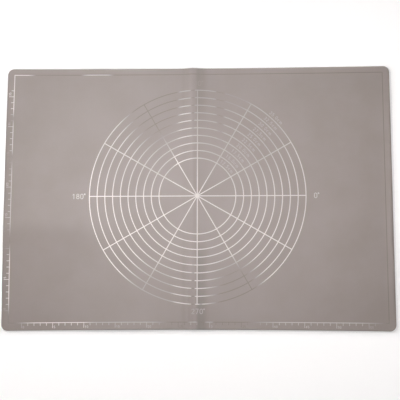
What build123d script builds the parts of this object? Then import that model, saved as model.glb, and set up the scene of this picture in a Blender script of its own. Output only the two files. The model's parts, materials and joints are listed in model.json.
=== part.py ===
from build123d import *
import math
import os

# Silicone baking mat, laid flat with its printed side up. All sizes are in millimetres.
# X runs along the long side, Y towards the back edge, Z up.
# The origin is on the table, under the middle of the mat.

# Moulded silicone sheet
sheet_length = 625.0
sheet_width = 427.0
sheet_thickness = 1.0
corner_radius = 10.0
edge_round = 0.4

# The crease where the mat folds in half lies left of the middle
fold_offset = 9.4

# Printed ink: one thickness, and a width for each kind of line
ink_thickness = 0.1
ring_line = 1.5
spoke_line = 1.5
border_line = 1.2
tick_line = 0.8

# Rolling guide: rings that state their diameters, and spokes from the middle
dial_above_middle = 2.0
dial_margin = 20.0
ring_diameter_first = 125.0
ring_diameter_step = 25.0
spoke_count = 12
hub_radius = 2.5

# Border line, inset from the sheet's edges
border_inset_side = 10.6
border_inset_back = 9.5
border_inset_front = 11.5

# Rulers outside the border line
tick_step = 10.0
minor_tick = 4.0
major_tick = 8.0
ticks_per_number = 5
ruler_margin = 20.0

# Lettering: height and pitch are measured between the middles of the strokes
angle_height = 7.7
angle_pitch = 6.6
angle_stroke = 1.1
angle_side_gap = 16.3
angle_end_gap = 10.8
size_height = 5.0
size_pitch = 4.8
size_stroke = 0.7
size_bearing = 45.0
number_height = 3.4
number_pitch = 3.0
number_stroke = 0.5
number_gap = 1.4
number_margin = 0.3

# How far cutting shapes run past what they cut
overrun = 5.0

fold_x = -fold_offset
half_length = sheet_length / 2
half_width = sheet_width / 2
ink_plane = Plane.XY.offset(sheet_thickness)

border_left = border_inset_side - half_length
border_right = half_length - border_inset_side
border_back = half_width - border_inset_back
border_front = border_inset_front - half_width
border_length = border_right - border_left
border_width = border_back - border_front

# The dial has as many rings as fit inside the border, less a margin all round for its labels
ring_room = border_width - 2 * dial_margin - ring_diameter_first
ring_count = 1 + math.floor(ring_room / ring_diameter_step)
ring_radii = [(ring_diameter_first + ring_diameter_step * i) / 2 for i in range(ring_count)]
dial_radius = ring_radii[-1]
dial_centre = Vector(0, dial_above_middle)

# Each ring's size is printed midway to the next ring
size_gap = (ring_diameter_step / 2 - ring_line) / 2

# The rulers hold as many whole steps as fit along the border line, less a margin at each end
front_ruler_steps = math.floor((border_length - 2 * ruler_margin) / tick_step)
side_ruler_steps = math.floor((border_width - 2 * ruler_margin) / tick_step)

# Strokes of the plain lettering, as shares of the character's height. A character stands on
# y = 0 with its middle at x = 0. A bar has two ends; a bow has a centre, a radius share,
# the angle where it starts and the angle that it turns through.
stroke_shares = {
    "0": [
        ("bow", (0, 0.74), 0.26, 0, 180),
        ("bar", (-0.26, 0.74), (-0.26, 0.26)),
        ("bow", (0, 0.26), 0.26, 180, 180),
        ("bar", (0.26, 0.26), (0.26, 0.74)),
    ],
    "1": [("bar", (0.04, 0), (0.04, 1)), ("bar", (0.04, 1), (-0.18, 0.8))],
    "2": [
        ("bow", (0, 0.75), 0.25, 165, -205),
        ("bar", (0.192, 0.59), (-0.25, 0)),
        ("bar", (-0.25, 0), (0.25, 0)),
    ],
    "3": [("bow", (0, 0.77), 0.23, 150, -240), ("bow", (0, 0.27), 0.27, 90, -240)],
    "4": [
        ("bar", (0.12, 0), (0.12, 1)),
        ("bar", (0.12, 1), (-0.27, 0.3)),
        ("bar", (-0.27, 0.3), (0.27, 0.3)),
    ],
    "5": [
        ("bar", (0.22, 1), (-0.2, 1)),
        ("bar", (-0.2, 1), (-0.22, 0.52)),
        ("bow", (-0.02, 0.3), 0.3, 132, -272),
    ],
    "6": [
        ("bow", (0, 0.27), 0.27, 0, 180),
        ("bow", (0, 0.27), 0.27, 180, 180),
        ("bow", (0.46, 0.27), 0.73, 180, -66),
    ],
    "7": [("bar", (-0.25, 1), (0.25, 1)), ("bar", (0.25, 1), (-0.08, 0))],
    "8": [
        ("bow", (0, 0.77), 0.23, 0, 180),
        ("bow", (0, 0.77), 0.23, 180, 180),
        ("bow", (0, 0.27), 0.27, 0, 180),
        ("bow", (0, 0.27), 0.27, 180, 180),
    ],
    "9": [
        ("bow", (0, 0.73), 0.27, 0, 180),
        ("bow", (0, 0.73), 0.27, 180, 180),
        ("bow", (-0.46, 0.73), 0.73, 0, -66),
    ],
    ".": [("bar", (-0.03, 0), (0.03, 0))],
    "c": [("bow", (0.02, 0.31), 0.29, 50, 260)],
    "m": [
        ("bar", (-0.38, 0), (-0.38, 0.6)),
        ("bow", (-0.19, 0.41), 0.19, 0, 180),
        ("bar", (0, 0.41), (0, 0)),
        ("bow", (0.19, 0.41), 0.19, 0, 180),
        ("bar", (0.38, 0.41), (0.38, 0)),
    ],
    "°": [("bow", (-0.06, 0.95), 0.1, 0, 180), ("bow", (-0.06, 0.95), 0.1, 180, 180)],
}

# Room that a character takes along its row, as a share of the pitch
advance_shares = {".": 0.6, "m": 1.4, "°": 0.5}

character_shapes = {}
os.makedirs("parts", exist_ok=True)


def character_shape(character, height, stroke):
    """Flat shape of one character, drawn once for each size."""
    key = (character, height, stroke)
    if key in character_shapes:
        return character_shapes[key]
    with BuildSketch() as shape:
        for kind, first, *rest in stroke_shares[character]:
            if kind == "bar":
                start = Vector(first) * height
                run = Vector(rest[0]) * height - start
                slope = math.degrees(math.atan2(run.Y, run.X))
                with Locations(start + run / 2):
                    SlotCenterToCenter(run.length, stroke, rotation=slope)
            else:
                radius_share, start_angle, turn = rest
                centre = Vector(first) * height
                bow = Edge.make_circle(
                    radius_share * height,
                    Plane(centre),
                    min(start_angle, start_angle + turn),
                    max(start_angle, start_angle + turn),
                )
                SlotArc(bow, stroke)
    character_shapes[key] = shape.sketch
    return character_shapes[key]


def row_of_places(text, pitch):
    """Each character with its distance along the row, measured from the row's middle."""
    rooms = [advance_shares.get(character, 1) * pitch for character in text]
    places = []
    reach = -sum(rooms) / 2
    for character, room in zip(text, rooms):
        places.append((character, reach + room / 2))
        reach += room
    return places


def straight_row(text, origin, turn, height, pitch):
    """Spots for a straight row of characters, centred on its origin."""
    along = Vector(1, 0).rotate(Axis.Z, turn)
    up = Vector(0, 1).rotate(Axis.Z, turn)
    foot = origin - up * (height / 2)
    places = row_of_places(text, pitch)
    return [(character, Location(foot + along * place, turn)) for character, place in places]


def bent_row(text, radius, bearing, height, pitch):
    """Spots for a row of characters bent round the dial, tops outward, centred on a bearing."""
    spots = []
    for character, place in row_of_places(text, pitch):
        angle = bearing - math.degrees(place / radius)
        foot = dial_centre + Vector(radius - height / 2, 0).rotate(Axis.Z, angle)
        spots.append((character, Location(foot, angle - 90)))
    return spots


def print_characters(spots, height, stroke):
    """Characters in the current sketch, each drawn at all its spots at once."""
    for character in sorted({character for character, spot in spots}):
        with Locations(*[spot for other, spot in spots if other == character]):
            add(character_shape(character, height, stroke))


def keep_side(side):
    """Trim the current sketch to one side of the fold line."""
    reach = sheet_length + overrun
    align_x = Align.MAX if side == "left" else Align.MIN
    with Locations((fold_x, 0)):
        Rectangle(reach, reach, align=(align_x, Align.CENTER), mode=Mode.INTERSECT)


def save(part, label):
    part.label = label
    export_step(part, f"parts/{label}.step")


def make_sheet_half(side):
    """Half of the moulded sheet, up to the fold line, its upper outer edge rounded."""
    with BuildPart() as half:
        with BuildSketch():
            RectangleRounded(sheet_length, sheet_width, corner_radius)
            keep_side(side)
        extrude(amount=sheet_thickness)
        upper = half.faces().sort_by(Axis.Z)[-1].edges()
        fillet(
            [edge for edge in upper if abs(edge.center().X - fold_x) > edge_round],
            radius=edge_round,
        )
    save(half.part, f"sheet_{side}_half")


def make_ring(number, radius, side):
    """One printed ring of the dial, up to the fold line. Its outer edge has the named size."""
    with BuildPart() as ring:
        with BuildSketch(ink_plane):
            with Locations(dial_centre):
                Circle(radius)
                Circle(radius - ring_line, mode=Mode.SUBTRACT)
            keep_side(side)
        extrude(amount=ink_thickness)
    save(ring.part, f"ring_{number:02d}_{side}")


def make_ring_size(number, radius):
    """Diameter of one ring in centimetres, printed just outside it."""
    words = f"{2 * radius / tick_step:.1f}cm"
    with BuildPart() as label:
        with BuildSketch(ink_plane):
            spots = bent_row(words, radius + size_gap, size_bearing, size_height, size_pitch)
            print_characters(spots, size_height, size_stroke)
        extrude(amount=ink_thickness)
    save(label.part, f"ring_{number:02d}_size")


def crosses_fold(bearing):
    return dial_radius * math.cos(math.radians(bearing)) < fold_x


def spoke_strips(bearings):
    """Whole strips of spokes in the current sketch, from the middle into the last ring."""
    with Locations(*[Location(dial_centre, bearing) for bearing in bearings]):
        Rectangle(dial_radius - ring_line / 2, spoke_line, align=(Align.MIN, Align.CENTER))


def make_spoke(bearing, rings):
    """One spoke: its lengths between the rings, outside the hub and on one side of the fold."""
    with BuildPart() as spoke:
        with BuildSketch(ink_plane):
            spoke_strips([bearing])
            with Locations(dial_centre):
                Circle(hub_radius, mode=Mode.SUBTRACT)
            add(rings, mode=Mode.SUBTRACT)
            keep_side("left" if crosses_fold(bearing) else "right")
        extrude(amount=ink_thickness)
    save(spoke.part, f"spoke_{bearing:.0f}_degrees")


def make_spokes():
    """All the spokes, and the dot in the middle with the stubs of those that cross the fold."""
    with BuildSketch() as rings:
        with Locations(dial_centre):
            for radius in reversed(ring_radii):
                Circle(radius)
                Circle(radius - ring_line, mode=Mode.SUBTRACT)
    bearings = [360 / spoke_count * index for index in range(spoke_count)]
    for bearing in bearings:
        make_spoke(bearing, rings.sketch)

    with BuildPart() as hub:
        with BuildSketch(ink_plane):
            spoke_strips([bearing for bearing in bearings if crosses_fold(bearing)])
            with Locations(dial_centre):
                Circle(hub_radius)
            keep_side("right")
        extrude(amount=ink_thickness)
    save(hub.part, "spoke_hub")


def make_angle_labels():
    """Bearings printed outside the last ring: at the two sides, the back and the front."""
    side_reach = dial_radius + angle_side_gap
    end_reach = dial_radius + angle_end_gap
    mark_room = advance_shares["°"] * angle_pitch
    places = {
        "0": Vector(side_reach, 0),
        "90": Vector(mark_room / 2, end_reach),
        "180": Vector(-side_reach, 0),
        "270": Vector(mark_room / 2, -end_reach),
    }
    for words, place in places.items():
        with BuildPart() as label:
            with BuildSketch(ink_plane):
                spots = straight_row(f"{words}°", dial_centre + place, 0, angle_height, angle_pitch)
                print_characters(spots, angle_height, angle_stroke)
            extrude(amount=ink_thickness)
        save(label.part, f"angle_label_{words}_degrees")


def make_border(side):
    """Line round the printed field, up to the fold line."""
    inner_length = border_length - 2 * border_line
    inner_width = border_width - 2 * border_line
    with BuildPart() as border:
        with BuildSketch(ink_plane):
            with Locations((0, (border_back + border_front) / 2)):
                Rectangle(border_length, border_width)
                Rectangle(inner_length, inner_width, mode=Mode.SUBTRACT)
            keep_side(side)
        extrude(amount=ink_thickness)
    save(border.part, f"border_line_{side}")


def make_ruler(ticks, foot, turn, names):
    """Ticks that hang from the border line, and a number beside each fifth one. The ticks are
    steps with their distances along the ruler; the foot is where it starts on the line."""
    along = Vector(1, 0).rotate(Axis.Z, turn)
    outward = Vector(0, -1).rotate(Axis.Z, -turn)
    majors = [reach for step, reach in ticks if step % ticks_per_number == 0]
    minors = [reach for step, reach in ticks if step % ticks_per_number]
    with BuildPart() as marks:
        with BuildSketch(ink_plane):
            for reaches, length in ((majors, major_tick), (minors, minor_tick)):
                with Locations(*[Location(foot + along * reach, -turn) for reach in reaches]):
                    Rectangle(tick_line, length, align=(Align.CENTER, Align.MAX))
        extrude(amount=ink_thickness)
    save(marks.part, names[0])

    middle = minor_tick + number_margin + (number_height + number_stroke) / 2
    spots = []
    for step, reach in ticks:
        if step % ticks_per_number == 0:
            row_middle = reach + number_gap + len(str(step)) * number_pitch / 2
            origin = foot + along * row_middle + outward * middle
            spots += straight_row(str(step), origin, turn, number_height, number_pitch)
    with BuildPart() as numbers:
        with BuildSketch(ink_plane):
            print_characters(spots, number_height, number_stroke)
        extrude(amount=ink_thickness)
    save(numbers.part, names[1])


def make_front_ruler(side):
    """Ruler under the front border line: the centimetres on one side of the fold."""
    start = -front_ruler_steps * tick_step / 2
    ticks = [(step, start + step * tick_step) for step in range(front_ruler_steps + 1)]
    ticks = [(step, x) for step, x in ticks if (x < fold_x) == (side == "left")]
    names = (f"front_ruler_ticks_{side}", f"front_ruler_numbers_{side}")
    make_ruler(ticks, Vector(0, border_front), 0, names)


def make_side_ruler():
    """Ruler left of the left border line, its numbers turned to read upwards."""
    ticks = [(step, step * tick_step) for step in range(side_ruler_steps + 1)]
    foot = Vector(border_left, border_front + ruler_margin)
    make_ruler(ticks, foot, 90, ("side_ruler_ticks", "side_ruler_numbers"))


for side in ("left", "right"):
    make_sheet_half(side)
    make_border(side)
    make_front_ruler(side)
    for number, radius in enumerate(ring_radii, 1):
        make_ring(number, radius, side)

for number, radius in enumerate(ring_radii, 1):
    make_ring_size(number, radius)

make_spokes()
make_angle_labels()
make_side_ruler()
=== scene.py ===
"""Silicone baking mat: one soft moulded sheet with its print, laid on a pale floor in soft studio light."""

import json
import math

import bmesh
import bpy
import numpy as np
from bpy.props import FloatProperty, FloatVectorProperty, PointerProperty
from mathutils import Matrix, Vector


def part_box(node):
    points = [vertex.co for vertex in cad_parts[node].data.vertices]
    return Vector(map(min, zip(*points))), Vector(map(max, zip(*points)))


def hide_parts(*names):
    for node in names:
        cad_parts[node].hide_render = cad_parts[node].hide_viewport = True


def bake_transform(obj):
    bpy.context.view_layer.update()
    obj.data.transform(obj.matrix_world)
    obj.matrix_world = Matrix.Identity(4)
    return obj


bl_info = {
    "name": "Silicone baking mat",
    "version": (1, 0, 0),
    "blender": (4, 5, 0),
    "location": "View3D > Sidebar > Baking Mat",
    "description": "Builds a printed silicone baking mat around its construction model",
    "category": "Add Mesh",
}

MM = 0.001

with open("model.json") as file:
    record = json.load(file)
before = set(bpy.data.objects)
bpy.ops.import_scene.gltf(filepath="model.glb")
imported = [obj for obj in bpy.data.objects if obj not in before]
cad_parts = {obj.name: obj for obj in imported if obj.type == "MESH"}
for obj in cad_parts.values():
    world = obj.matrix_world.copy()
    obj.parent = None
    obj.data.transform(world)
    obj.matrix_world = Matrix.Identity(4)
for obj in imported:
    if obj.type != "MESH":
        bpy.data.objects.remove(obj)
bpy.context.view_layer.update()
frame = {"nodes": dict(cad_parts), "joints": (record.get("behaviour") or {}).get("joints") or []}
joint = frame["joints"][0]
fold_x = joint["pos_m"][0]
sheet_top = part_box("sheet_right_half")[1].z
half_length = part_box("sheet_right_half")[1].x
half_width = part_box("sheet_right_half")[1].y
ink_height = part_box("ring_01_right")[1].z - sheet_top
dial_y = (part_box("ring_01_right")[0].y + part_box("ring_01_right")[1].y) / 2

# The mat seems to have one ink. It is drawn as three materials of different strength: for the dial, for
# the border and rulers, and for the ring sizes with two of the angle labels. Their brightness over the mat
# is partly print and partly a painted reflection of the softboxes
dial_ink = "silicone_ink_screen_printed_dial"
border_ink = "silicone_ink_screen_printed_border"
faint_ink = "silicone_ink_screen_printed_thin"

# How bright the print is along the mat, partly print and partly painted reflection of the softboxes:
# distance from its middle in millimetres, and share of the highlit print
dial_print_and_reflection = [
    (-200, 0.62),
    (-184, 0.66),
    (-178, 1.0),
    (-112, 0.92),
    (-62, 0.84),
    (0, 0.75),
    (62, 0.70),
    (175, 0.68),
    (190, 0.55),
]
border_print_and_reflection = [(-300, 0.08), (-200, 0.0), (300, 0.0)]
faint_strength = [(-200, 0.34), (200, 0.34)]

# Patches where the painted reflection is weaker or stronger: middle and half lengths in millimetres, and
# the share there.
# On the slopes of the fold and along its crest the print is painted dark, as shade where it reflects no
# softbox
dial_reflection_patches = [
    (72, 120, 120, 125, 0.36),
    (10, 195, 75, 85, 0.29),
    (-95, 85, 110, 95, 0.65),
    (-70, -185, 74, 108, 0.30),
    (130, -85, 100, 90, 0.78),
    (-62, 62, 50, 45, 0.52),
    (-25, 60, 18, 24, 0.88),
    (-18, -82, 22, 52, 0.88),
    (64, 174, 42, 42, 0.16),
    (-69, 165, 74, 108, 0.0),
    (-20, 160, 15, 50, 0.36),
    (-20, 110, 15, 62, 0.75),
    (-24, -140, 20, 92, 0.78),
    (65, -165, 58, 84, 0.0),
    (37, 165, 10, 90, 0.05),
    (-7.5, 185, 4.5, 105, 0.05),
    (-6.4, -185, 4.5, 100, 0.05),
    (6, -187, 5.5, 24, 0.10),
]
border_reflection_patches = [
    (-218, -205, 78, 24, 1.0),
    (190, -205, 125, 24, 0.55),
    (-112, -205, 76, 24, 0.42),
    (-7, -205, 10, 14, 0.50),
    (19, -205, 9, 14, 0.36),
    (-301, -132, 24, 62, 0.95),
    (-292, 196, 30, 26, 0.75),
    (-301, 165, 24, 36, 0.85),
    (-301, 100, 24, 34, 0.60),
    (-301, 0, 24, 72, 0.50),
    (-164, 200, 30, 24, 0.60),
]
faint_reflection_patches = [(2, 192, 44, 22, 0.10)]
# Share of a patch's half lengths within which it has its whole effect
patch_core = 0.45

# Where the crest of the crease lies beside the fold's axis, and how much it slants across the mat
crest_offset = 2.6 * MM
crest_slant = 0.004

# Sections across the crease, in its middle and at its two ends: distance from its crest in
# millimetres, and share of its height. Their corners are rounded over this many millimetres
middle_section = [(-25, 0), (-7, 0.40), (0, 0.80), (5, 0.62), (38, 0)]
end_section = [(-25, 0), (-13, 0.18), (-8, 0.28), (0, 0.90), (4, 0.79), (18, 0.40), (38, 0)]
section_round = 1.0

# Slight waves of the sheet: wavelength along each axis in metres, phase and share of the height
wave_list = [
    (0.310, 0.420, 0.4, 0.4),
    (-0.230, 0.350, 2.1, 0.3),
    (0.420, -0.290, 4.4, 0.3),
]

# Spans over which the sheet's forms set in, in millimetres: where each starts, and how long it takes.
# wave_span is measured from the crest, and the others from the mat's middle
end_section_span = (110, 70)
wave_span = (40, 80)
back_ripple_span = (180, 35)
back_ripple_side = (40, 60)
left_ripple_span = (275, 38)
curl_span = (296, 17)
swell_side = (100, 100)
front_lift_span = (178, 37)
front_lift_right = (45, 30)
front_lift_left = (-210, 50)
back_bow_span = (178, 36)
front_bow_span = (172, 40)
end_bow_span = (185, 125)

# Ripples along an edge: the place of one crest, and the wavelength, in millimetres
back_ripple = (-165, 78)
left_ripple = (138, 70)

# Humps: place and reach in millimetres. The second is measured from the fold's axis, where the back edge
# bulges by this many millimetres
swell_hump = (-45, 34)
crease_hump = (0, 11)
crease_bulge = 0.9

# How sharply the right edge turns up
curl_power = 1.5

# How far each edge has shifted, in millimetres along X for the right and left and along Y for the back
# and front: constant, linear and square part of a curve over the edge, which runs from -1 to 1
right_bow = (-0.3, -1.6, 0.0)
left_bow = (-0.2, 0.4, 1.3)
back_bow = (-0.8, 0.0, 1.6)
front_bow = (1.1, -0.7, -2.3)

# Painted shade and highlight across the crease, within this reach of the crest: distance from it in
# millimetres, and share of the rubber's colour there
crease_shading_reach = 36 * MM
crease_painted_shading = [
    (-21, 1.0),
    (-15.5, 0.91),
    (-10, 0.99),
    (-4, 1.13),
    (2, 1.03),
    (9, 0.70),
    (14, 0.75),
    (27, 1.0),
]
# The painted crease shading deepens towards the mat's ends: where that starts and ends in millimetres, and
# its share there
crease_shading_ends = [(-50, -115, 1.0), (100, 160, 0.72)]
middle_crease_shading = 0.15

# How fine the patterns are, in cells per metre: clouds of about 70 mm, dapple of 6 mm, mottled ink of
# 4 mm. The grain of a blasted mould is finer than a pixel, so it is drawn coarser, at about 1 mm
cloud_scale = 14.0
dapple_scale = 160.0
grain_scale = 900.0
mottle_scale = 260.0

# Length of the short steps that a ring is swept in
ring_step = 1.2 * MM

# The contact shadow is painted into the floor's colour from occlusion, and leans to the front and right,
# because the room is brighter behind on the left
painted_shadow_lean = (-0.46, 0.42, 0.7823)

# Half the floor's width, and how far it lies under the mat, in metres
floor_reach = 6.0
floor_gap = 0.05 * MM

# Colour of every lamp, height of the softboxes, and where the other two lamps point, in metres
lamp_colour = "#FFFAF9"
softbox_height = 2.0
lamp_target = Vector((-0.03, -0.04, 0))


def linear(hex_colour):
    """An sRGB hex colour as the linear red, green and blue that shaders take."""
    parts = [int(hex_colour[i : i + 2], 16) / 255 for i in (1, 3, 5)]
    return tuple(c / 12.92 if c <= 0.04045 else ((c + 0.055) / 1.055) ** 2.4 for c in parts)


def colour_property(name, description, hex_colour):
    return FloatVectorProperty(
        name=name,
        description=description,
        subtype="COLOR",
        size=3,
        min=0,
        max=1,
        default=linear(hex_colour),
    )


def length_property(name, description, metres):
    return FloatProperty(name=name, description=description, unit="LENGTH", default=metres)


def angle_property(name, description, degrees):
    return FloatProperty(name=name, description=description, subtype="ANGLE", default=math.radians(degrees))


def number_property(name, description, value):
    return FloatProperty(name=name, description=description, default=value)


class SheetSettings(bpy.types.PropertyGroup):
    """Shape of the laid sheet"""

    corner_radius: length_property("Corner radius", "Radius of the sheet's four corners", 10 * MM)
    edge_round: length_property("Edge round", "Radius of the upper edge", 0.4 * MM)
    foot_round: length_property("Foot round", "Radius of the lower edge", 0.15 * MM)
    mesh_step: length_property("Mesh step", "Size of the mesh away from the crease", 4 * MM)
    crease_step: length_property("Crease step", "Size of the mesh across the crease", 0.9 * MM)
    crease_reach: length_property("Crease reach", "Half width of the finely meshed crease", 44 * MM)
    bend_reach: length_property("Bend reach", "Half width of the strip that bends when folded", 7 * MM)
    crest: length_property("Crest", "Height that the sections across the crease share out", 1.6 * MM)
    wave: length_property("Wave", "Height of the sheet's slight waves", 0.2 * MM)
    ripple: length_property("Ripple", "Height of the ripples along the back and left edges", 0.3 * MM)
    curl: length_property("Curl", "How far the right edge stands off the floor", 0.5 * MM)
    swell: length_property("Swell", "Height of the soft swell across the left part", 1.38 * MM)
    front_lift: length_property(
        "Front lift", "How far the front edge stands off, left of the middle", 0.6 * MM
    )


class InkSettings(bpy.types.PropertyGroup):
    """Shape of the printed ink"""

    mesh_step: length_property("Mesh step", "Largest step of the ink along the sheet", 2.5 * MM)
    ring_line: length_property("Ring line", "Width of the printed rings", 1.5 * MM)
    bedding: length_property("Bedding", "How far the ink's underside lies in the sheet", 0.03 * MM)


class ColourSettings(bpy.types.PropertyGroup):
    """Colours of the mat and the floor"""

    silicone: colour_property("Silicone", "Taupe of the moulded sheet", "#8F847F")
    silicone_shade: colour_property("Silicone shade", "Darker, warmer taupe of its cloudy areas", "#8A7F79")
    # Ends of the print's painted reflection: whitish under a painted highlight of the softboxes, and darker
    # than the rubber without it
    highlit_print: colour_property("Full ink", "Whitish print where the ink covers fully", "#F0EAE7")
    unlit_print: colour_property("Thin ink", "Greyish taupe of the print where the ink is thin", "#7A6F69")
    floor: colour_property("Floor", "Pale floor", "#F2F2F2")


class StageSettings(bpy.types.PropertyGroup):
    """Camera and light"""

    target_x: length_property("Target X", "Where the camera aims, along the mat", 4.29 * MM)
    target_y: length_property("Target Y", "Where the camera aims, across the mat", -4.66 * MM)
    distance: length_property("Distance", "Camera distance from its target", 2121.0 * MM)
    tilt: angle_property("Tilt", "Camera angle from straight above", 9.525)
    azimuth: angle_property("Azimuth", "Camera angle round the mat", 14.685)
    roll: angle_property("Roll", "Camera roll", 0.111)
    lens: FloatProperty(
        name="Lens", description="Focal length in millimetres", unit="CAMERA", default=118.85
    )
    left_radiance: number_property("Left softbox", "Radiance of the left softbox", 9)
    middle_radiance: number_property("Middle softbox", "Radiance of the middle softbox", 8.5)
    right_radiance: number_property("Right softbox", "Radiance of the right softbox", 5.2)
    upper_radiance: number_property("Upper softbox", "Radiance of the upper right softbox", 2.2)
    side_radiance: number_property("Side light", "Radiance of the low side light", 15)
    back_radiance: number_property("Back light", "Radiance of the gridded back light", 1.2)
    world_strength: number_property("World", "Strength of the pale surroundings", 0.16)
    floor_glow: number_property("Floor glow", "Extra white for the camera and reflections only", 0.33)
    # The floor's contact shadow is painted into its colour from occlusion
    painted_shadow_reach: length_property("Halo reach", "How far the contact shadow on the floor spreads", 10.5 * MM)
    painted_shadow_depth: number_property("Halo depth", "How strongly the contact shadow darkens", 2.4)
    painted_shadow_floor: number_property("Halo floor", "Share of light left in the contact shadow", 0.7)


def smooth_step(t):
    """0 below 0, 1 above 1, and an even S between."""
    t = np.clip(t, 0, 1)
    return t * t * (3 - 2 * t)


def rising(distance, span):
    """0 up to where the span starts, and then a smooth rise to 1 over its length."""
    start, length = span
    return smooth_step((distance - start * MM) / (length * MM))


def ripples(distance, ripple):
    """Even ripples between 0 and 1 along an edge."""
    crest, length = ripple
    return 0.5 + 0.5 * np.cos(2 * math.pi * (distance - crest * MM) / (length * MM))


def hump(distance, shape):
    """A smooth hump of height 1."""
    place, reach = shape
    return np.exp(-(((distance - place * MM) / (reach * MM)) ** 2))


def bow(place, parts):
    """How far an edge has shifted at a place along it."""
    constant, slope, square = parts
    return constant + slope * place + square * place**2


def crease_place(y):
    """Where the crest of the crease runs: it slants a little across the mat."""
    return fold_x + crest_offset - crest_slant * y


def crease_share(section, u):
    """Share of the crease's height at a distance from its crest, with rounded corners."""
    places = [place * MM for place, share in section]
    shares = [share for place, share in section]
    shifts = np.linspace(-section_round, section_round, 7) * MM
    return sum(np.interp(u + shift, places, shares) for shift in shifts) / len(shifts)


def rise(x, y):
    """Height of the laid sheet above flat: its crease, waves, ripples, curl, swell and front lift."""
    s = bpy.context.scene.mat_sheet
    u = x - crease_place(y)
    at_end = rising(np.abs(y), end_section_span)
    crease = (1 - at_end) * crease_share(middle_section, u) + at_end * crease_share(end_section, u)
    clear = rising(np.abs(u), wave_span)
    wave = sum(
        part * (0.5 + 0.5 * np.sin(2 * math.pi * (x / along + y / across) + phase))
        for along, across, phase, part in wave_list
    )
    ripple = rising(y, back_ripple_span) * rising(-x, back_ripple_side) * ripples(x, back_ripple)
    ripple = ripple + rising(-x, left_ripple_span) * ripples(y, left_ripple)
    curl = rising(x, curl_span) ** curl_power
    swell = hump(y, swell_hump) * rising(-x, swell_side)
    front = rising(-y, front_lift_span) * rising(-x, front_lift_right) * rising(x, front_lift_left)
    lifted = s.ripple * ripple + s.curl * curl + s.swell * swell + s.front_lift * front
    return s.crest * crease + s.wave * wave * clear + lifted


def slide(x, y):
    """How far the laid sheet has shifted in its own plane: its edges bow a little."""
    along = x / half_length
    across = y / half_width
    dx = rising(x, end_bow_span) * bow(across, right_bow) + rising(-x, end_bow_span) * bow(across, left_bow)
    bulge = crease_bulge * hump(x - fold_x, crease_hump)
    dy = rising(y, back_bow_span) * (bow(along, back_bow) + bulge)
    dy = dy + rising(-y, front_bow_span) * bow(along, front_bow)
    return dx * MM, dy * MM


def lay(points, lift):
    """Points of the flat mat, given their height over its upper face, on the laid sheet."""
    x, y = points[:, 0], points[:, 1]
    probe = 0.05 * MM
    slope_x = (rise(x + probe, y) - rise(x - probe, y)) / (2 * probe)
    slope_y = (rise(x, y + probe) - rise(x, y - probe)) / (2 * probe)
    normal = np.stack([-slope_x, -slope_y, np.ones_like(x)], axis=1)
    normal /= np.linalg.norm(normal, axis=1)[:, None]
    dx, dy = slide(x, y)
    upper = np.stack([x + dx, y + dy, sheet_top + rise(x, y)], axis=1)
    return upper + normal * np.asarray(lift)[:, None]


def new_object(name, data):
    """A named object in the scene."""
    obj = bpy.data.objects.new(name, data)
    bpy.context.scene.collection.objects.link(obj)
    return obj


def add_node(tree, kind, settings=None, **links):
    """A shader node with its settings; each link names an input and what feeds it."""
    node = tree.nodes.new(kind)
    for key, value in (settings or {}).items():
        if isinstance(key, str) and hasattr(node, key):
            setattr(node, key, value)
        else:
            node.inputs[key].default_value = value
    for key, source in links.items():
        tree.links.new(source, node.inputs[key.replace("_", " ")])
    return node


def new_material(name):
    """An empty material and its node tree."""
    material = bpy.data.materials.new(name)
    material.use_nodes = True
    material.node_tree.nodes.clear()
    return material, material.node_tree


def set_ramp(ramp, stops):
    """Gives a colour ramp its stops: place and colour."""
    elements = ramp.color_ramp.elements
    while len(elements) > len(stops):
        elements.remove(elements[-1])
    while len(elements) < len(stops):
        elements.new(1.0)
    for element, (place, colour) in zip(elements, stops):
        element.position = place
        element.color = (*colour, 1.0)


def grey_stops(levels, reach):
    """Ramp stops from levels at distances in millimetres; the ramp reaches this far to both sides."""
    return [(0.5 + at * MM / (2 * reach), (level, level, level)) for at, level in levels]


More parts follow.
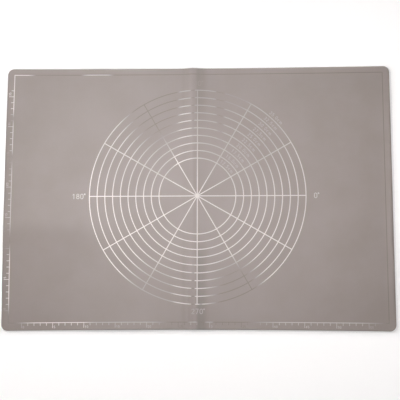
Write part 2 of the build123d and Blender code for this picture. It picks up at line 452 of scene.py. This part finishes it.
def moulded_silicone():
    """Silicone rubber, pressed in a fine-blasted mould: matt, cloudy, and softly bright towards a lamp."""
    colours = bpy.context.scene.mat_colours
    material, tree = new_material("silicone_rubber_moulded_matt")
    place = add_node(tree, "ShaderNodeTexCoord").outputs["Object"]
    cloud = add_node(
        tree,
        "ShaderNodeTexNoise",
        {"Scale": cloud_scale, "Detail": 5.0, "Roughness": 0.55},
        Vector=place,
    )
    ramp = add_node(tree, "ShaderNodeValToRGB", Fac=cloud.outputs["Fac"])
    set_ramp(ramp, [(0.36, colours.silicone_shade), (0.64, colours.silicone)])

    # Painted shade and highlight along the crease: distance from the crest, as a place on the shading ramp
    across = add_node(
        tree, "ShaderNodeVectorMath", {"operation": "DOT_PRODUCT", 1: (1.0, crest_slant, 0.0)}
    )
    tree.links.new(place, across.inputs[0])
    crease_shading_place = add_node(
        tree,
        "ShaderNodeMapRange",
        {"From Min": crease_place(0) - crease_shading_reach, "From Max": crease_place(0) + crease_shading_reach},
        Value=across.outputs["Value"],
    )
    crease_shading_ramp = add_node(tree, "ShaderNodeValToRGB", Fac=crease_shading_place.outputs["Result"])
    set_ramp(crease_shading_ramp, grey_stops(crease_painted_shading, crease_shading_reach))
    crease_shading_ramp.color_ramp.interpolation = "EASE"
    y_place = add_node(tree, "ShaderNodeSeparateXYZ", Vector=place).outputs["Y"]
    depth = add_node(tree, "ShaderNodeMath", {"operation": "MAXIMUM"})
    for number, (start, end, share) in enumerate(crease_shading_ends):
        toward_end = add_node(
            tree,
            "ShaderNodeMapRange",
            {
                "interpolation_type": "SMOOTHSTEP",
                "From Min": start * MM,
                "From Max": end * MM,
                "To Min": middle_crease_shading,
                "To Max": share,
            },
            Value=y_place,
        )
        tree.links.new(toward_end.outputs["Result"], depth.inputs[number])
    colour_with_painted_crease_shade = add_node(
        tree, "ShaderNodeMix", {"data_type": "RGBA", "blend_type": "MULTIPLY"}, Factor=depth.outputs[0]
    )
    tree.links.new(ramp.outputs["Color"], colour_with_painted_crease_shade.inputs["A"])
    tree.links.new(crease_shading_ramp.outputs["Color"], colour_with_painted_crease_shade.inputs["B"])

    # The relief adds half of the mould's grain to the soft dapple of the pressed rubber
    grain = add_node(tree, "ShaderNodeTexNoise", {"Scale": grain_scale, "Detail": 3.0}, Vector=place)
    dapple = add_node(tree, "ShaderNodeTexNoise", {"Scale": dapple_scale, "Detail": 4.0}, Vector=place)
    relief = add_node(tree, "ShaderNodeMath", {"operation": "MULTIPLY_ADD", 1: 0.5})
    tree.links.new(grain.outputs["Fac"], relief.inputs[0])
    tree.links.new(dapple.outputs["Fac"], relief.inputs[2])
    bump = add_node(
        tree, "ShaderNodeBump", {"Strength": 0.25, "Distance": 0.15 * MM}, Height=relief.outputs[0]
    )
    shader = add_node(
        tree,
        "ShaderNodeBsdfPrincipled",
        {"Roughness": 0.38, "IOR": 1.41, "Specular IOR Level": 1.0},
        Base_Color=colour_with_painted_crease_shade.outputs["Result"],
        Normal=bump.outputs["Normal"],
    )
    add_node(tree, "ShaderNodeOutputMaterial", Surface=shader.outputs["BSDF"])
    return material


def printed_ink(name, print_and_reflection_levels, reflection_patches):
    """Screen printed silicone ink: a smooth, half gloss film, whitish under a painted highlight of the
    softboxes and darker than the rubber where painted shade stands for no reflection.
    """
    colours = bpy.context.scene.mat_colours
    material, tree = new_material(name)
    place = add_node(tree, "ShaderNodeTexCoord").outputs["Object"]
    mottle = add_node(tree, "ShaderNodeTexNoise", {"Scale": mottle_scale, "Detail": 3.0}, Vector=place)
    roughness = add_node(
        tree,
        "ShaderNodeMapRange",
        {"From Min": 0.3, "From Max": 0.7, "To Min": 0.28, "To Max": 0.34},
        Value=mottle.outputs["Fac"],
    )
    # Painted reflection of the softboxes: how lit the print looks along the mat, and then in patches
    along = add_node(
        tree,
        "ShaderNodeMapRange",
        {"From Min": -half_length, "From Max": half_length},
        Value=add_node(tree, "ShaderNodeSeparateXYZ", Vector=place).outputs["X"],
    )
    ramp = add_node(tree, "ShaderNodeValToRGB", Fac=along.outputs["Result"])
    set_ramp(ramp, grey_stops(print_and_reflection_levels, half_length))
    strength = ramp.outputs["Color"]
    for x, y, reach_x, reach_y, share in reflection_patches:
        scale_x, scale_y = 1 / (reach_x * MM), 1 / (reach_y * MM)
        centred = add_node(
            tree,
            "ShaderNodeMapping",
            {"Scale": (scale_x, scale_y, 0), "Location": (-x * MM * scale_x, -y * MM * scale_y, 0)},
            Vector=place,
        )
        away = add_node(tree, "ShaderNodeVectorMath", {"operation": "LENGTH"})
        tree.links.new(centred.outputs["Vector"], away.inputs[0])
        patch_weight = add_node(
            tree,
            "ShaderNodeMapRange",
            {
                "interpolation_type": "SMOOTHSTEP",
                "From Min": patch_core,
                "From Max": 1.0,
                "To Min": 1.0,
                "To Max": 0.0,
            },
            Value=away.outputs["Value"],
        )
        patched = add_node(
            tree,
            "ShaderNodeMix",
            {"data_type": "FLOAT", "B": share},
            A=strength,
            Factor=patch_weight.outputs["Result"],
        )
        strength = patched.outputs["Result"]
    tint = add_node(
        tree,
        "ShaderNodeMix",
        {"data_type": "RGBA", "A": (*colours.unlit_print, 1.0), "B": (*colours.highlit_print, 1.0)},
        Factor=strength,
    )
    shader = add_node(
        tree,
        "ShaderNodeBsdfPrincipled",
        {"IOR": 1.5, "Specular IOR Level": 0.5},
        Base_Color=tint.outputs["Result"],
        Roughness=roughness.outputs["Result"],
    )
    add_node(tree, "ShaderNodeOutputMaterial", Surface=shader.outputs["BSDF"])
    return material


def rounded_outline(inset):
    """Outline of the sheet, this far inside its edge, as points with the arcs in short steps."""
    s = bpy.context.scene.mat_sheet
    radius = s.corner_radius - inset
    turns = 10
    points = []
    for quarter, (sx, sy) in enumerate(((1, 1), (-1, 1), (-1, -1), (1, -1))):
        cx = sx * (half_length - s.corner_radius)
        cy = sy * (half_width - s.corner_radius)
        for step in range(turns + 1):
            angle = math.pi / 2 * (quarter + step / turns)
            points.append((cx + radius * math.cos(angle), cy + radius * math.sin(angle)))
    return points


def outward(x, y):
    """Unit direction out of the sheet's outline at a point near it."""
    s = bpy.context.scene.mat_sheet
    cx = max(-(half_length - s.corner_radius), min(half_length - s.corner_radius, x))
    cy = max(-(half_width - s.corner_radius), min(half_width - s.corner_radius, y))
    return Vector((x - cx, y - cy)).normalized()


def cut_places(low, high, coarse):
    """Where the mesh is cut along X: even steps, and finer ones across the crease."""
    s = bpy.context.scene.mat_sheet
    fine_low, fine_high = fold_x - s.crease_reach, fold_x + s.crease_reach
    count = round(2 * s.crease_reach / s.crease_step)
    places = [fine_low + (fine_high - fine_low) * i / count for i in range(count + 1)]
    for start, sign in ((fine_high, 1), (fine_low, -1)):
        reach = abs(sign * half_length - start)
        steps = math.ceil(reach / coarse)
        places += [start + sign * reach * i / steps for i in range(1, steps)]
    return sorted(x for x in places if low < x < high)


def even_places(low, high, step):
    """Cuts along Y, in even steps from the mat's middle line."""
    first = math.ceil(low / step)
    last = math.floor(high / step)
    return [i * step for i in range(first, last + 1) if low < i * step < high]


def cut(bm, xs, ys):
    """Cuts every face of a mesh at the given places."""
    for normal, places in (((1, 0, 0), xs), ((0, 1, 0), ys)):
        for place in places:
            bmesh.ops.bisect_plane(
                bm,
                geom=bm.verts[:] + bm.edges[:] + bm.faces[:],
                dist=1e-7,
                plane_co=Vector(normal) * place,
                plane_no=normal,
            )


def rim_profile():
    """Rounded rim from the upper face to the lower one: how far out and how far down."""
    s = bpy.context.scene.mat_sheet
    r, f = s.edge_round, s.foot_round
    upper = [(r * math.sin(a), r * (1 - math.cos(a))) for a in (math.pi / 6, math.pi / 3, math.pi / 2)]
    lower = [
        (r - f * (1 - math.cos(a)), sheet_top - f * (1 - math.sin(a)))
        for a in (0, math.pi / 4, math.pi / 2)
    ]
    return upper + lower


def make_sheet_mesh():
    """The whole sheet as one closed mesh with a rounded rim, laid with its crease."""
    s = bpy.context.scene.mat_sheet
    bm = bmesh.new()
    bm.faces.new([bm.verts.new((x, y, 0)) for x, y in rounded_outline(s.edge_round)])
    cut(
        bm,
        cut_places(-half_length, half_length, s.mesh_step),
        even_places(-half_width, half_width, s.mesh_step),
    )
    number = {vert: i for i, vert in enumerate(bm.verts)}
    flat = [(vert.co.x, vert.co.y) for vert in bm.verts]
    faces = [[number[vert] for vert in face.verts] for face in bm.faces]
    rim_next = {}
    for edge in bm.edges:
        if edge.is_boundary:
            loop = edge.link_loops[0]
            rim_next[number[loop.vert]] = number[loop.link_loop_next.vert]
    bm.free()

    count = len(flat)
    places = [(x, y, 0.0) for x, y in flat] + [(x, y, -sheet_top) for x, y in flat]
    faces += [[i + count for i in reversed(face)] for face in faces]
    chains = {i: [i] for i in rim_next}
    for out, drop in rim_profile():
        for i, chain in chains.items():
            direction = outward(*flat[i])
            chain.append(len(places))
            places.append((flat[i][0] + direction.x * out, flat[i][1] + direction.y * out, -drop))
    for i, chain in chains.items():
        chain.append(i + count)
    for i, j in rim_next.items():
        near, far = chains[i], chains[j]
        for k in range(len(near) - 1):
            faces.append([far[k], near[k], near[k + 1], far[k + 1]])

    places = np.array(places)
    mesh = bpy.data.meshes.new("moulded_sheet")
    mesh.from_pydata(lay(places, places[:, 2]).tolist(), [], faces)
    mesh.validate()
    mesh.shade_smooth()
    return mesh


def bend(piece):
    """Bakes the piece's transform into its mesh."""
    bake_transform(piece)


def ink_name(piece):
    """Which of the three inks a printed piece has."""
    if piece.name.endswith("_size_print") or piece.name.startswith(("angle_label_90", "angle_label_270")):
        return faint_ink
    if piece.name.startswith("border") or "_ruler_" in piece.name:
        return border_ink
    return dial_ink


def finish_ink(piece, *nodes):
    """Material and shading; hides the nodes it stands for and bakes its transform."""
    piece.data.materials.append(bpy.data.materials[ink_name(piece)])
    piece.data.shade_smooth()
    piece.data.set_sharp_from_angle(angle=math.radians(40))
    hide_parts(*nodes)
    bend(piece)


def lay_ink_mesh(mesh):
    """Lays a flat ink mesh on the sheet, its underside bedded in a little."""
    bedding = bpy.context.scene.mat_ink.bedding
    points = np.zeros(len(mesh.vertices) * 3)
    mesh.vertices.foreach_get("co", points)
    points = points.reshape(-1, 3)
    lift = np.where(points[:, 2] > sheet_top + ink_height / 2, ink_height, -bedding)
    mesh.vertices.foreach_set("co", lay(points, lift).ravel())
    mesh.update()


def drape_nodes(name, *nodes):
    """Copies printed nodes, cuts them finely and lays them on the sheet as one piece."""
    step = bpy.context.scene.mat_ink.mesh_step
    bm = bmesh.new()
    for node in nodes:
        bm.from_mesh(frame["nodes"][node].data)
    bmesh.ops.remove_doubles(bm, verts=bm.verts, dist=1e-6)
    bmesh.ops.dissolve_limit(bm, angle_limit=math.radians(0.5), verts=bm.verts, edges=bm.edges)
    xs = [vert.co.x for vert in bm.verts]
    ys = [vert.co.y for vert in bm.verts]
    cut(bm, cut_places(min(xs), max(xs), step), even_places(min(ys), max(ys), step))
    mesh = bpy.data.meshes.new(name)
    bm.to_mesh(mesh)
    bm.free()
    mesh.materials.clear()
    lay_ink_mesh(mesh)
    finish_ink(new_object(name, mesh), *nodes)


def make_ring(number):
    """One whole printed ring, swept in short steps and laid across the crease."""
    line = bpy.context.scene.mat_ink.ring_line
    name = f"ring_{number:02d}"
    low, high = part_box(f"ring_{number:02d}_right")
    radius = (high.y - low.y) / 2
    steps = round(2 * math.pi * radius / ring_step)
    corners = ((radius, 1), (radius - line / 2, 1), (radius - line, 1), (radius - line, 0), (radius, 0))
    places = []
    for step in range(steps):
        angle = 2 * math.pi * step / steps
        for reach, upper in corners:
            z = sheet_top + ink_height * upper
            places.append((reach * math.cos(angle), dial_y + reach * math.sin(angle), z))
    faces = []
    size = len(corners)
    for step in range(steps):
        a, b = step * size, (step + 1) % steps * size
        for k in range(size):
            m = (k + 1) % size
            faces.append([a + k, b + k, b + m, a + m])
    mesh = bpy.data.meshes.new(name)
    mesh.from_pydata(places, [], faces)
    lay_ink_mesh(mesh)
    finish_ink(new_object(name, mesh), f"{name}_left", f"{name}_right")


class MAT_OT_sheet(bpy.types.Operator):
    """Builds the moulded silicone sheet"""

    bl_idname = "mat.sheet"
    bl_label = "Moulded sheet"

    def execute(self, context):
        mesh = make_sheet_mesh()
        sheet = new_object("moulded_sheet", mesh)
        mesh.materials.append(moulded_silicone())
        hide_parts("sheet_left_half", "sheet_right_half")
        bend(sheet)
        return {"FINISHED"}


class MAT_OT_print(bpy.types.Operator):
    """Lays the printed rings, spokes, labels, border line and rulers on the sheet"""

    bl_idname = "mat.print"
    bl_label = "Print"

    def execute(self, context):
        printed_ink(dial_ink, dial_print_and_reflection, dial_reflection_patches)
        printed_ink(border_ink, border_print_and_reflection, border_reflection_patches)
        printed_ink(faint_ink, faint_strength, faint_reflection_patches)
        ring_count = sum(name.endswith("_size") for name in frame["nodes"])
        done = set()
        for number in range(1, ring_count + 1):
            make_ring(number)
            done |= {f"ring_{number:02d}_left", f"ring_{number:02d}_right"}
        for name in ("border_line", "front_ruler_ticks", "front_ruler_numbers"):
            drape_nodes(name, f"{name}_left", f"{name}_right")
            done |= {f"{name}_left", f"{name}_right"}
        for name in sorted(frame["nodes"]):
            if name not in done and not name.startswith("sheet"):
                drape_nodes(f"{name}_print", name)
        return {"FINISHED"}


def area_light(name, centre, size, radiance):
    """A rectangular lamp of even brightness, facing straight down until it is turned."""
    lamp = bpy.data.lights.new(name, "AREA")
    lamp.shape = "RECTANGLE"
    lamp.size, lamp.size_y = size
    lamp.energy = radiance * math.pi * size[0] * size[1]
    lamp.color = linear(lamp_colour)
    obj = new_object(name, lamp)
    obj.location = centre
    return obj


def floor_material():
    """Matt painted board: white to the camera, with the lamps' shadow of the mat and a soft contact shadow
    painted into its colour.
    """
    stage = bpy.context.scene.mat_stage
    material, tree = new_material("painted_board_matt")
    # Painted shadow: occlusion in a leaned direction darkens the floor's paint and glow near the mat
    lean_x, lean_y, lean_z = painted_shadow_lean
    lean = add_node(tree, "ShaderNodeCombineXYZ", {"X": lean_x, "Y": lean_y, "Z": lean_z})
    near = add_node(
        tree,
        "ShaderNodeAmbientOcclusion",
        {"samples": 16, "Distance": stage.painted_shadow_reach},
        Normal=lean.outputs["Vector"],
    )
    darker = add_node(
        tree,
        "ShaderNodeMath",
        {"operation": "MULTIPLY_ADD", 1: stage.painted_shadow_depth, 2: 1.0 - stage.painted_shadow_depth},
    )
    tree.links.new(near.outputs["AO"], darker.inputs[0])
    painted_shadow = add_node(tree, "ShaderNodeMath", {"operation": "MAXIMUM", 1: stage.painted_shadow_floor})
    tree.links.new(darker.outputs[0], painted_shadow.inputs[0])
    paint = add_node(
        tree,
        "ShaderNodeVectorMath",
        {"operation": "SCALE", 0: tuple(bpy.context.scene.mat_colours.floor)},
        Scale=painted_shadow.outputs[0],
    )
    diffuse = add_node(tree, "ShaderNodeBsdfDiffuse", Color=paint.outputs[0])

    # The floor's extra white shows to the camera and in reflections, and lights nothing otherwise
    path = add_node(tree, "ShaderNodeLightPath")
    seen = add_node(tree, "ShaderNodeMath", {"operation": "MAXIMUM"})
    tree.links.new(path.outputs["Is Camera Ray"], seen.inputs[0])
    tree.links.new(path.outputs["Is Glossy Ray"], seen.inputs[1])
    power = add_node(tree, "ShaderNodeMath", {"operation": "MULTIPLY", 1: stage.floor_glow})
    tree.links.new(seen.outputs[0], power.inputs[0])
    shaded = add_node(tree, "ShaderNodeMath", {"operation": "MULTIPLY"})
    tree.links.new(power.outputs[0], shaded.inputs[0])
    tree.links.new(painted_shadow.outputs[0], shaded.inputs[1])
    glow = add_node(tree, "ShaderNodeEmission", Strength=shaded.outputs[0])
    both = add_node(tree, "ShaderNodeAddShader")
    tree.links.new(diffuse.outputs[0], both.inputs[0])
    tree.links.new(glow.outputs[0], both.inputs[1])
    add_node(tree, "ShaderNodeOutputMaterial", Surface=both.outputs[0])
    return material


def make_floor():
    """A wide floor, just under the mat."""
    corners = [(sx * floor_reach, sy * floor_reach, 0) for sx, sy in ((-1, -1), (1, -1), (1, 1), (-1, 1))]
    mesh = bpy.data.meshes.new("floor")
    mesh.from_pydata(corners, [], [(0, 1, 2, 3)])
    floor = new_object("floor", mesh)
    floor.location.z = -floor_gap
    mesh.materials.append(floor_material())


def make_camera():
    """The camera that took the photograph, fitted to the mat's printed rings and rulers."""
    stage = bpy.context.scene.mat_stage
    back = Vector(
        (
            math.sin(stage.tilt) * math.sin(stage.azimuth),
            -math.sin(stage.tilt) * math.cos(stage.azimuth),
            math.cos(stage.tilt),
        )
    )
    right = (-back).cross(Vector((0, 1, 0))).normalized()
    up = right.cross(-back)
    turn, tip = math.cos(stage.roll), math.sin(stage.roll)
    side = turn * right + tip * up
    head = -tip * right + turn * up
    camera = bpy.data.cameras.new("photograph_camera")
    camera.sensor_width = 36
    camera.lens = stage.lens
    camera.clip_start = 0.05
    camera.clip_end = 50
    obj = new_object("photograph_camera", camera)
    place = Vector((stage.target_x, stage.target_y, sheet_top)) + back * stage.distance
    obj.matrix_world = Matrix.Translation(place) @ Matrix((side, head, back)).transposed().to_4x4()
    bpy.context.scene.camera = obj


def make_world():
    """Pale surroundings: white behind the floor to the camera, and a weak even light on the mat."""
    world = bpy.data.worlds.new("pale_room")
    world.use_nodes = True
    tree = world.node_tree
    background = tree.nodes["Background"]
    background.inputs["Color"].default_value = (1, 1, 1, 1)
    strength = add_node(
        tree,
        "ShaderNodeMapRange",
        {"To Min": bpy.context.scene.mat_stage.world_strength, "To Max": 1.0},
        Value=add_node(tree, "ShaderNodeLightPath").outputs["Is Camera Ray"],
    )
    tree.links.new(strength.outputs["Result"], background.inputs["Strength"])
    bpy.context.scene.world = world


def make_lamps():
    """Softboxes over the mat, whose sheen brightens its middle, and two lamps behind it."""
    stage = bpy.context.scene.mat_stage
    high = softbox_height
    left = area_light("left_softbox", (-0.525, 0.50, high), (0.39, 0.54), stage.left_radiance)
    left.rotation_euler.z = math.radians(-2)
    middle = area_light("middle_softbox", (-0.20, 0.26, high), (0.46, 0.62), stage.middle_radiance)
    middle.data.shape = "ELLIPSE"
    right = area_light("right_softbox", (0.255, 0.16, high), (0.42, 0.54), stage.right_radiance)
    right.rotation_euler.z = math.radians(5)
    upper = area_light("upper_right_softbox", (0.218, 0.56, high), (0.42, 0.26), stage.upper_radiance)
    upper.rotation_euler.z = math.radians(5)
    side = area_light("low_side_light", (-1.3, 2.0, 0.85), (0.6, 0.6), stage.side_radiance)
    back = area_light("gridded_back_light", (-0.1, 1.4, 2.2), (1.2, 0.15), stage.back_radiance)
    back.data.spread = math.radians(22)
    for lamp in (side, back):
        lamp.rotation_euler = (lamp_target - lamp.location).to_track_quat("-Z", "Y").to_euler()


class MAT_OT_stage(bpy.types.Operator):
    """Adds the pale floor, the soft light and the camera"""

    bl_idname = "mat.stage"
    bl_label = "Stage"

    def execute(self, context):
        make_floor()
        make_camera()
        make_world()
        make_lamps()
        context.scene.view_settings.view_transform = "Standard"
        return {"FINISHED"}


setting_groups = {
    "mat_sheet": SheetSettings,
    "mat_ink": InkSettings,
    "mat_colours": ColourSettings,
    "mat_stage": StageSettings,
}
operators = (MAT_OT_sheet, MAT_OT_print, MAT_OT_stage)


class VIEW3D_PT_baking_mat(bpy.types.Panel):
    """Buttons that build the baking mat, and its sizes and colours"""

    bl_label = "Baking Mat"
    bl_space_type = "VIEW_3D"
    bl_region_type = "UI"
    bl_category = "Baking Mat"

    def draw(self, context):
        for operator in operators:
            self.layout.operator(operator.bl_idname)
        for group in setting_groups:
            settings = getattr(context.scene, group)
            for name in settings.bl_rna.properties.keys():
                if name not in ("rna_type", "name"):
                    self.layout.prop(settings, name)


def register():
    for group in setting_groups.values():
        bpy.utils.register_class(group)
    for name, group in setting_groups.items():
        setattr(bpy.types.Scene, name, PointerProperty(type=group))
    for operator in operators:
        bpy.utils.register_class(operator)
    bpy.utils.register_class(VIEW3D_PT_baking_mat)


def unregister():
    bpy.utils.unregister_class(VIEW3D_PT_baking_mat)
    for operator in reversed(operators):
        bpy.utils.unregister_class(operator)
    for name in setting_groups:
        delattr(bpy.types.Scene, name)
    for group in setting_groups.values():
        bpy.utils.unregister_class(group)


def main():
    """Builds the mat and its stage."""
    register()
    bpy.ops.mat.sheet()
    bpy.ops.mat.print()
    bpy.ops.mat.stage()


if __name__ == "__main__":
    main()
